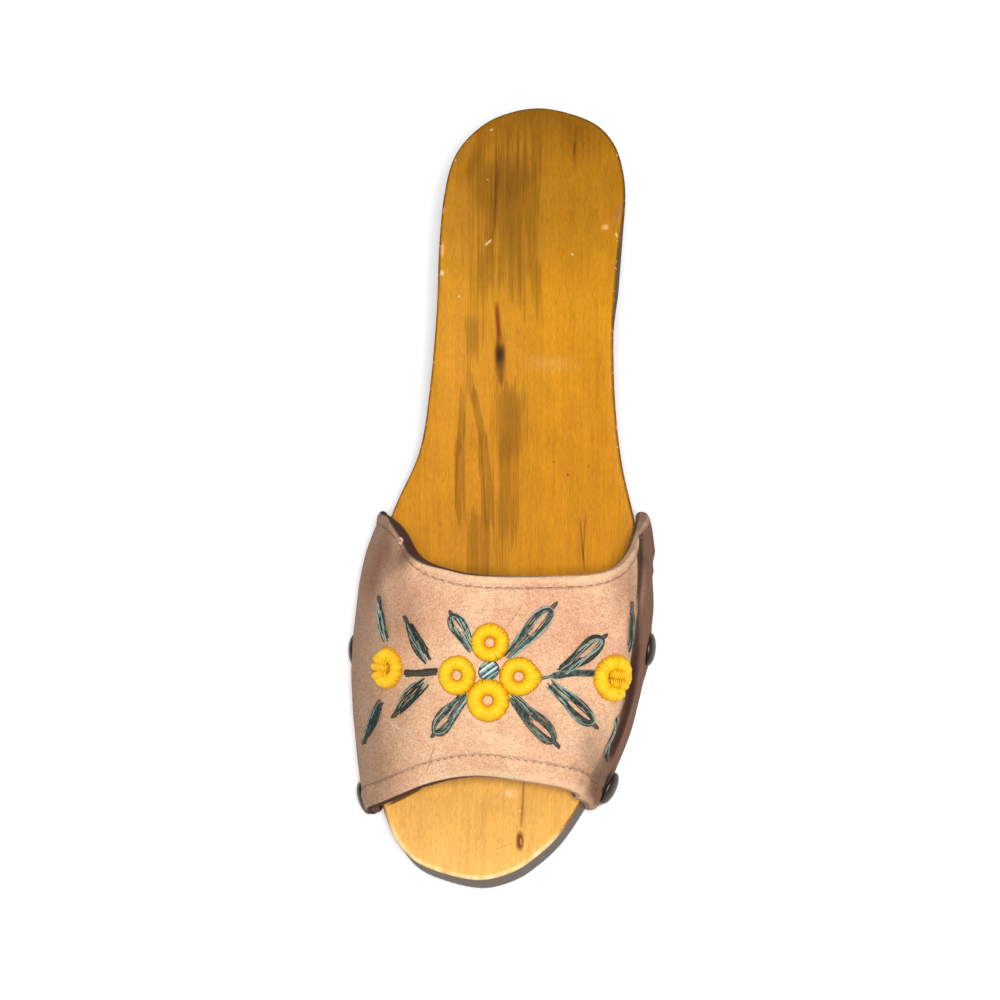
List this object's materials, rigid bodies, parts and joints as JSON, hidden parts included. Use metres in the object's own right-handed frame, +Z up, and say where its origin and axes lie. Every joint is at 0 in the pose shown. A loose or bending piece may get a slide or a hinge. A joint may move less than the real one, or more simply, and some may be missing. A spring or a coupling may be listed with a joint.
{
  "type": "wooden wedge sandal",
  "caption": "Left wooden wedge sandal: a carved, varnished sole with a suede strap nailed to its sides, open at toe and heel, worked with a raised flower and buds.",
  "frame": {"origin": "on the floor, under the middle of the shoe's box", "axes": "+Y from toe to heel, +Z up, -X towards the big toe"},
  "size_m": [0.0966, 0.24, 0.0665],
  "materials": {
    "wood": "amber varnish over lengthwise grain",
    "suede": "soft nap",
    "nail": "dark polished nickel",
    "yellow_yarn": "silky thread",
    "teal_yarn": "silky thread"
  },
  "bodies": {
    "root": {"sole": "wood", "strap": "suede", "nail_medial_front": "nail", "nail_medial_middle": "nail", "nail_medial_rear": "nail", "nail_lateral_front": "nail", "nail_lateral_middle": "nail", "petal_rear": "yellow_yarn", "petal_medial": "yellow_yarn", "petal_front": "yellow_yarn", "petal_lateral": "yellow_yarn", "flower_eye": "teal_yarn", "bud_medial": "yellow_yarn", "bud_lateral": "yellow_yarn"}
  },
  "joints": []
}
